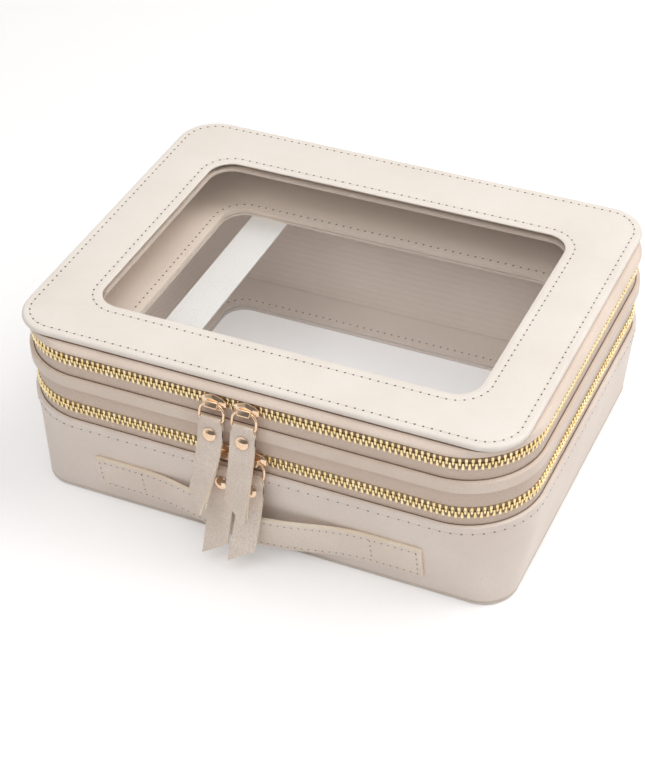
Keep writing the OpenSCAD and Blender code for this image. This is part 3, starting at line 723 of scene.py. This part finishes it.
LONG_STITCH, STITCH, SHORT_STITCH = 3.2, 2.4, 2.0
stitches("lid_edge", flat_row((TOP_W, TOP_D, TOP_R), -LID_EDGE_ROW, LID_ROW_Z),
         STITCH, "lid", "lid_leather")
stitches("lid_window_edge", flat_row(LID_WINDOW, LID_WINDOW_ROW, LID_ROW_Z, LID_WINDOW_SHIFT),
         STITCH, "lid", "lid_leather")
stitches("middle_edge", flat_row(MIDDLE_WINDOW, INNER_ROW, top_of("middle_panel")),
         STITCH, "tray", "lining_fabric")
stitches("bottom_edge", flat_row(BOTTOM_WINDOW, INNER_ROW, top_of("bottom_inner_frame")),
         STITCH, "base", "lining_fabric")
stitches("base_edge", wall_row(WALL_ROW_Z, pitch=4.9), LONG_STITCH, "base", "wall_leather",
         soft_hole_shade, hole_scale=0.9)
print("walls, teeth and stitches made")

# --------------------------------------------------------------- zip hardware

# Zip height and lean; side of the tab's short corner; twist in degrees; sway, and how far the
# front and back layers part at the ends, in mm
Pull = namedtuple("Pull", "height lean short_side twist sway front_splay back_splay")
PULLS = {
    "upper_left": Pull(UP_ZIP_Z, UP_LEAN, -1, 30.0, -4.2, 1.6, 0.9),
    "upper_right": Pull(UP_ZIP_Z, UP_LEAN, -1, 13.0, -1.0, 0.9, 1.3),
    "lower_left": Pull(LOW_ZIP_Z, LOW_LEAN, 1, 0.0, -1.8, 0.5, 0.5),
    "lower_right": Pull(LOW_ZIP_Z, LOW_LEAN, 1, -6.0, -3.0, 0.6, 0.4),
}


def pull_place(x, pull):
    """The frame of a pull: origin on the link's top bar, z back up along the pull."""
    return (shift(x, -CASE_D / 2 - BAR_OUT, pull.height)
            @ Matrix.Rotation(radians(-pull.lean), 4, "X"))


def wire_ring(name, place, node):
    """The wire link: a straight bar in the tab's fold, and an arch through the slider's crown."""
    bend_steps, arch_steps = 6, 12
    points = []
    for step in range(bend_steps + 1):
        turn = pi / 2 * step / bend_steps
        points.append((LINK_HALF - LINK_BEND * (1 - sin(turn)),
                       -LINK_H + LINK_BEND * (1 - cos(turn))))
    for step in range(1, arch_steps):
        turn = pi / 2 * step / arch_steps
        points.append((LINK_ARCH_HALF + (LINK_HALF - LINK_ARCH_HALF) * cos(turn),
                       LINK_ARCH_H * (sin(turn) - 1)))
    outline = points + [(-x, z) for x, z in reversed(points)]
    curve = bpy.data.curves.new(name, "CURVE")
    curve.dimensions = "3D"
    curve.bevel_depth = WIRE_R * mm
    curve.bevel_resolution = 3
    spline = curve.splines.new("POLY")
    spline.points.add(len(outline) - 1)
    for point, (x, z) in zip(spline.points, outline):
        point.co = (x * mm, 0, z * mm, 1)
    spline.use_cyclic_u = True
    drawn = bpy.data.objects.new(name + "_curve", curve)
    mesh = bpy.data.meshes.new_from_object(drawn)
    bpy.data.objects.remove(drawn)
    bpy.data.curves.remove(curve)
    mesh.transform(place)
    mesh.name = name
    keep_mesh(name, mesh, [rose_gold], node, "rose_gold", [node])


def zip_slider(name, x, z, tail, node):
    """Slider: a facetted face plate with its narrow end at the tail's side, a flange below
    and a crown for the link."""
    shape = bmesh.new()
    outline = [(-6.25, 1.5), (-4.3, 3.0), (0.2, 4.6), (4.6, 3.1), (6.25, 1.5),
               (6.25, -1.5), (4.6, -3.0), (0.2, -4.3), (-4.3, -3.0), (-6.25, -1.5)]
    plate_in, plate_t, facet_w, facet_h = 1.2, 0.9, 1.9, 1.0
    flange, crown, crown_lean = (6.2, 1.9, 0.9), (6.4, 3.3, 3.3), radians(-32)
    corners = [shape.verts.new((px * tail * mm, plate_in * mm, pz * mm)) for px, pz in outline]
    plate = shape.faces.new(corners)
    raised = bmesh.ops.extrude_face_region(shape, geom=[plate])["geom"]
    front = [v for v in raised if isinstance(v, bmesh.types.BMVert)]
    bmesh.ops.translate(shape, verts=front, vec=(0, -plate_t * mm, 0))
    face = [f for f in raised if isinstance(f, bmesh.types.BMFace)]
    bmesh.ops.inset_region(shape, faces=face, thickness=facet_w * mm, depth=0.0,
                           use_even_offset=True)
    bmesh.ops.translate(shape, verts=list(face[0].verts), vec=(0, -facet_h * mm, 0))
    round_edges(shape, shape.edges[:], 0.14, 2)
    soft_block(shape, flange, shift(-1.6 * tail, 0.95, -3.85), edge=0.25)
    seat = shift(0, -1.45, -0.1) @ Matrix.Rotation(crown_lean, 4, "X")
    soft_block(shape, crown, seat, edge=0.6, steps=3)
    face_out(shape)
    bmesh.ops.transform(shape, matrix=shift(x, -CASE_D / 2, z), verts=shape.verts[:])
    keep_piece(name, shape, [rose_gold], node, "rose_gold", [node], sharp=32.0)


def eased(value):
    """A smooth step from 0 to 1."""
    value = min(1.0, max(0.0, value))
    return value * value * (3 - 2 * value)


def leather_tab(name, place, pull, body, replaced):
    """A strip folded round the link: two layers with slanted ends that hang, turn and part."""
    fold_r = WIRE_R + WIRE_GAP + TAB_T / 2
    fold = pi * fold_r
    neck = TAB_NECK / 2
    layer_in = TAB_T / 2 + 0.03
    back_l = TAB_L - TAB_BACK_SHORTER
    turn_from, hang_from, slant_from = 9, 11, 14
    neck_l, neck_widening, pinch_l, bow_out = 0.6, 2.6, 5.5, 0.9
    total = TAB_L + fold + back_l
    shape = bmesh.new()
    bmesh.ops.create_grid(shape, x_segments=8, y_segments=96, size=1.0)
    for v in shape.verts:
        across = v.co.x
        run = (v.co.y + 1) / 2 * total - TAB_L
        if run < 0:
            down, side, splay, end = -run, -1, pull.front_splay, TAB_L
        elif run > fold:
            down, side, splay, end = run - fold, 1, pull.back_splay, back_l
        else:
            turn = run / fold * pi
            v.co = Vector((across * neck, -fold_r * cos(turn), fold_r * sin(turn)))
            continue
        cut = TAB_SLANT * (across * pull.short_side + 1) / 2
        down -= cut * eased((down - slant_from) / (end - slant_from))
        width = neck + (TAB_W / 2 - neck) * eased((down - neck_l) / neck_widening)
        pinch = fold_r + (layer_in - fold_r) * eased(down / pinch_l)
        hang = max(0.0, (down - hang_from) / (end - hang_from))
        x = across * width
        y = side * (pinch + splay * hang ** 1.7) - bow_out * hang ** 1.5
        turn = radians(pull.twist) * eased((down - turn_from) / (end - turn_from))
        x, y = x * cos(turn) + y * sin(turn), -x * sin(turn) + y * cos(turn)
        v.co = Vector((x + pull.sway * hang ** 1.3, y, -down))
    bmesh.ops.scale(shape, vec=(mm, mm, mm), verts=shape.verts[:])
    bmesh.ops.solidify(shape, geom=shape.faces[:], thickness=TAB_T * mm)
    face_out(shape)
    for face in shape.faces:
        face.normal_update()
        wide = min(edge.calc_length() for edge in face.edges) > 0.8 * TAB_T * mm
        side_edge, end_edge = abs(face.normal.x) > 0.75, wide and abs(face.normal.z) > 0.75
        face.material_index = 1 if side_edge or end_edge else 0
    bmesh.ops.transform(shape, matrix=place @ shift(0, 0, -LINK_H), verts=shape.verts[:])
    keep_piece(name, shape, [tab_leather, raw_edge], body, "tab_leather", [replaced], sharp=50.0)


def rivet_cap(name, place, body, replaced):
    """Domed rivet with a thin rim, and its flat back."""
    shape = bmesh.new()
    behind = -2 * TAB_T
    dome = [(0.0, 1.25), (0.9, 1.2), (1.8, 1.0), (2.6, 0.62), (3.1, 0.3), (3.3, 0.12),
            (3.3, -0.05), (0.0, -0.05)]
    back = [(0.0, behind - 0.1), (2.6, behind - 0.1), (2.6, behind - 0.35),
            (2.2, behind - 0.55), (0.0, behind - 0.55)]
    for profile in (dome, back):
        verts = [shape.verts.new((r * mm, 0, h * mm)) for r, h in profile]
        edges = [shape.edges.new(pair) for pair in zip(verts, verts[1:])]
        bmesh.ops.spin(shape, geom=verts + edges, cent=(0, 0, 0), axis=(0, 0, 1), angle=2 * pi,
                       steps=32, use_merge=True)
    bmesh.ops.remove_doubles(shape, verts=shape.verts[:], dist=0.001 * mm)
    face_out(shape)
    outward = shift(0, -TAB_T, -LINK_H - RIVET_DROP) @ Matrix.Rotation(pi / 2, 4, "X")
    bmesh.ops.transform(shape, matrix=place @ outward, verts=shape.verts[:])
    keep_piece(name, shape, [rose_gold], body, "rose_gold", [replaced], sharp=35.0)


for name, pull in PULLS.items():
    low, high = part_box(name + "_link")
    middle = (low.x + high.x) / 2 / mm
    place = pull_place(middle, pull)
    tail = -1 if name.endswith("left") else 1
    zip_slider(name + "_runner", middle, pull.height, tail, name + "_slider")
    wire_ring(name + "_ring", place, name + "_link")
    leather_tab(name + "_strip", place, pull, name + "_pull", name + "_tab")
    rivet_cap(name + "_cap", place, name + "_pull", name + "_rivet")

# --------------------------------------------------------------- grab handle


def handle_place():
    """A frame on the front wall: x along it, y into it and z up its slope."""
    y = -CASE_D / 2 + wall_level(HANDLE_Z)[0] - HANDLE_GAP
    return shift(0, y, HANDLE_Z) @ Matrix.Rotation(WALL_LEAN, 4, "X")


def loose(x):
    """From 0 at the strap's sewn ends to 1 in its loose middle."""
    reach = HANDLE_L / 2 - HANDLE_END
    return 0.0 if abs(x) > reach else (1 + cos(pi * x / reach)) / 2


def grab_handle():
    """The leather strap, sewn flat at its ends, bowed out and hanging a little in between."""
    shape = bmesh.new()
    soft_block(shape, (HANDLE_L, HANDLE_T, HANDLE_H), edge=0.5, steps=3)
    for cut in range(1, HANDLE_CUTS):
        x = (-HANDLE_L / 2 + HANDLE_L * cut / HANDLE_CUTS) * mm
        bmesh.ops.bisect_plane(shape, geom=shape.verts[:] + shape.edges[:] + shape.faces[:],
                               dist=1e-7, plane_co=(x, 0, 0), plane_no=(1, 0, 0))
    corner, narrowing = 2.0, 0.9
    for v in shape.verts:
        x = v.co.x / mm
        past = max(0.0, abs(x) - HANDLE_L / 2 + corner) / corner
        v.co.z *= 1 - narrowing * past ** 2 / HANDLE_H
        v.co.y -= (HANDLE_BOW * loose(x) + HANDLE_T / 2) * mm
        v.co.z -= HANDLE_DROOP * loose(x) * mm
    for face in shape.faces:
        face.normal_update()
        edge = abs(face.normal.z) > 0.5 or abs(face.normal.x) > 0.6
        face.material_index = 1 if edge else 0
    bmesh.ops.transform(shape, matrix=handle_place(), verts=shape.verts[:])
    keep_piece("grab_handle", shape, [strap_leather, raw_edge], "base", "wall_leather",
               ["handle_strap"])


def handle_stitches():
    """Rows along the strap's edges and round the patch sewn down at each end."""
    pitch, margin, lift, across = 3.3, 2.3, 0.02, 4
    places = []

    def add(x, z, turn):
        """One stitch on the strap's face, with its row turned by an angle."""
        out = -(HANDLE_BOW * loose(x) + HANDLE_T + lift)
        slope = HANDLE_BOW * (loose(x + 0.5) - loose(x - 0.5))
        places.append(handle_place() @ shift(x, out, z - HANDLE_DROOP * loose(x))
                      @ Matrix.Rotation(-slope, 4, "Z") @ Matrix.Rotation(pi / 2, 4, "X")
                      @ Matrix.Rotation(turn, 4, "Z"))

    half_l, half_h = HANDLE_L / 2 - margin, HANDLE_H / 2 - margin
    patch = half_l - HANDLE_END + margin
    count = int(2 * half_l / pitch)
    for i in range(count):
        for z in (-half_h, half_h):
            add(-half_l + 2 * half_l * (i + 0.5) / count, z, 0.0)
    for x in (-half_l, half_l, -patch, patch):
        for i in range(across):
            add(x, -half_h + 2 * half_h * (i + 0.6) / (across + 0.2), pi / 2)
    stitches("handle_edge", places, SHORT_STITCH, "base", "wall_leather", soft_hole_shade,
             hole_scale=0.75)


def elastic_strap():
    """The white elastic band across the tray, with soft edges."""
    low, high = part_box("elastic_band")
    shape = bmesh.new()
    soft_block(shape, tuple((high - low) / mm), Matrix.Translation((low + high) / 2), edge=0.35)
    keep_piece("elastic_strap", shape, [elastic_white], "tray", "elastic", ["elastic_band"])


grab_handle()
handle_stitches()
elastic_strap()

# ------------------------------------------------ finishes of the solid parts

DRESSED = (
    (strip_leather, ("tray_strip",)),
    (wall_leather, ("base_hinge_strip", "tray_lower_hinge_strip", "tray_upper_hinge_strip",
                    "lid_hinge_strip", "bottom_panel")),
    (piping_leather, ("bottom_piping",)),
    (board_grey, ("base_board",)),
    (base_cloth, ("bottom_inner_frame",)),
    (lining_cloth, ("tray_lining", "middle_panel", "middle_under_frame", "lid_lining")),
    (lining_edge, ("lid_inner_frame",)),
    (clear_film, ("bottom_window", "middle_window", "lid_window")),
    (tape_weave, ("base_zip_tape", "tray_lower_tape", "tray_upper_tape", "lid_zip_tape")),
    (gold_teeth, ("lower_zip_stops", "upper_zip_stops")),
)
for finish, names in DRESSED:
    for name in names:
        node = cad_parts[name]
        node.data.materials.clear()
        node.data.materials.append(finish)
        if finish is clear_film:
            # light goes through the film as if it weren't there, so the inside is lit
            node.visible_shadow = False
            node.visible_diffuse = False

# ------------------------------------------------------------ studio and view

WARM_WHITE = (1.0, 0.985, 0.97, 1.0)
PAPER = (0.9, 0.9, 0.905, 1.0)
AIM = Vector((0, 0, 0.05))
ROOM_LIGHT = 0.20

# name, place, size, power, colour and whether it shows in mirrors; in metres and watts
LAMPS = (
    ("key_right_back", (0.75, 0.5, 1.35), (1.1, 1.1), 11.9, (1.0, 0.985, 0.965), True),
    ("overhead", (-0.1, 0.1, 1.5), (1.4, 1.2), 4.8, (1.0, 0.99, 0.975), True),
    ("high_front", (-0.1, -1.0, 1.3), (1.4, 1.0), 7.9, (1.0, 0.985, 0.98), False),
    ("right", (1.5, -0.3, 0.8), (1.2, 1.2), 3.35, (1.0, 0.985, 0.98), True),
)


def background_rays(tree):
    """1 for rays that show the background: from the camera, in a mirror or through glass.
    Then 1 for those in a mirror."""
    paths = tree.nodes.new("ShaderNodeLightPath").outputs
    mirror = paths["Is Glossy Ray"]
    bent = math_node(tree, "ADD", mirror, paths["Is Transmission Ray"])
    shown = math_node(tree, "ADD", paths["Is Camera Ray"], bent)
    return math_node(tree, "MINIMUM", shown, 1.0), mirror


def vector_node(tree, operation, first, second=None):
    """A Vector Math node that gives a value, from a socket and a vector."""
    node = tree.nodes.new("ShaderNodeVectorMath")
    node.operation = operation
    tree.links.new(first, node.inputs[0])
    if second is not None:
        node.inputs[1].default_value = second
    return node.outputs["Value"]


def studio_floor():
    """Pale paper floor that takes the shadow, and turns white away from the case."""
    shape = bmesh.new()
    bmesh.ops.create_grid(shape, x_segments=2, y_segments=2, size=6.0)
    mesh = bpy.data.meshes.new("floor")
    shape.to_mesh(mesh)
    shape.free()
    floor = bpy.data.objects.new("floor", mesh)
    bpy.context.scene.collection.objects.link(floor)
    finish, tree, out = blank_finish("pale_floor")
    paper = tree.nodes.new("ShaderNodeBsdfDiffuse")
    paper.inputs["Color"].default_value = PAPER
    lift = tree.nodes.new("ShaderNodeEmission")
    lift.inputs["Color"].default_value = (1, 1, 1, 1)
    distance = vector_node(tree, "LENGTH", object_place(tree))
    white = spread(tree, distance, 0.27, 1.0, start=0.5, end=2.5)
    tree.links.new(math_node(tree, "MULTIPLY", background_rays(tree)[0], white),
                   lift.inputs["Strength"])
    both = tree.nodes.new("ShaderNodeAddShader")
    tree.links.new(paper.outputs[0], both.inputs[0])
    tree.links.new(lift.outputs[0], both.inputs[1])
    tree.links.new(both.outputs[0], out.inputs["Surface"])
    mesh.materials.append(finish)
    floor.location.z = -0.2 * mm


def soft_lamp(name, place, size, power, colour, mirrored):
    """A soft lamp aimed at the case."""
    lamp = bpy.data.lights.new(name, "AREA")
    lamp.shape = "RECTANGLE"
    lamp.size, lamp.size_y = size
    lamp.energy = power
    lamp.color = colour
    holder = bpy.data.objects.new(name, lamp)
    holder.location = place
    holder.rotation_euler = (AIM - Vector(place)).to_track_quat("-Z", "Y").to_euler()
    holder.visible_glossy = mirrored
    bpy.context.scene.collection.objects.link(holder)


def studio_room():
    """White surroundings that light a little. In mirrors a broad part above the horizon on
    the front side is unlit, as a dim room behind the lamps."""
    world = bpy.data.worlds.new("studio")
    bpy.context.scene.world = world
    world.use_nodes = True
    tree = world.node_tree
    tree.nodes.clear()
    out = tree.nodes.new("ShaderNodeOutputWorld")
    room = tree.nodes.new("ShaderNodeBackground")
    room.inputs["Color"].default_value = WARM_WHITE
    shown, mirror = background_rays(tree)
    lit = spread(tree, shown, ROOM_LIGHT, 1.0, start=0.0, end=1.0)
    way = tree.nodes.new("ShaderNodeTexCoord").outputs["Generated"]
    rise = axes_of(tree, way)["Z"]
    toward = vector_node(tree, "DOT_PRODUCT", way, (0.25, -0.97, 0.0))
    front = spread(tree, toward, 0.0, 0.8, start=0.25, end=0.75)
    above = spread(tree, rise, 0.0, 1.0, start=-0.01, end=0.10)
    below = spread(tree, rise, 1.0, 0.0, start=0.62, end=0.85)
    unlit = math_node(tree, "MULTIPLY", front, math_node(tree, "MULTIPLY", above, below))
    kept = math_node(tree, "SUBTRACT", 1.0, math_node(tree, "MULTIPLY", mirror, unlit))
    tree.links.new(math_node(tree, "MULTIPLY", lit, kept), room.inputs["Strength"])
    tree.links.new(room.outputs[0], out.inputs["Surface"])


def view_camera():
    """The main view: directions in degrees, place in metres."""
    azimuth, elevation, roll = radians(25.81), radians(39.01), radians(-2.17)
    focal_px, frame_px, sensor = 1988.26, 774.0, 36.0
    back = Vector((sin(azimuth) * cos(elevation), -cos(azimuth) * cos(elevation), sin(elevation)))
    right = Vector((cos(azimuth), sin(azimuth), 0))
    up = back.cross(right)
    side = right * cos(roll) + up * sin(roll)
    top = up * cos(roll) - right * sin(roll)
    lens = bpy.data.cameras.new("camera")
    lens.sensor_width = sensor
    lens.lens = focal_px * sensor / frame_px
    lens.clip_start = 0.05
    camera = bpy.data.objects.new("camera", lens)
    camera.matrix_world = (Matrix.Translation((0.32630, -0.69632, 0.64716))
                           @ Matrix((side, top, back)).transposed().to_4x4())
    bpy.context.scene.collection.objects.link(camera)
    bpy.context.scene.camera = camera


studio_floor()
studio_room()
for lamp in LAMPS:
    soft_lamp(*lamp)
view_camera()
bpy.context.scene.view_settings.view_transform = "Standard"

bpy.context.view_layer.update()
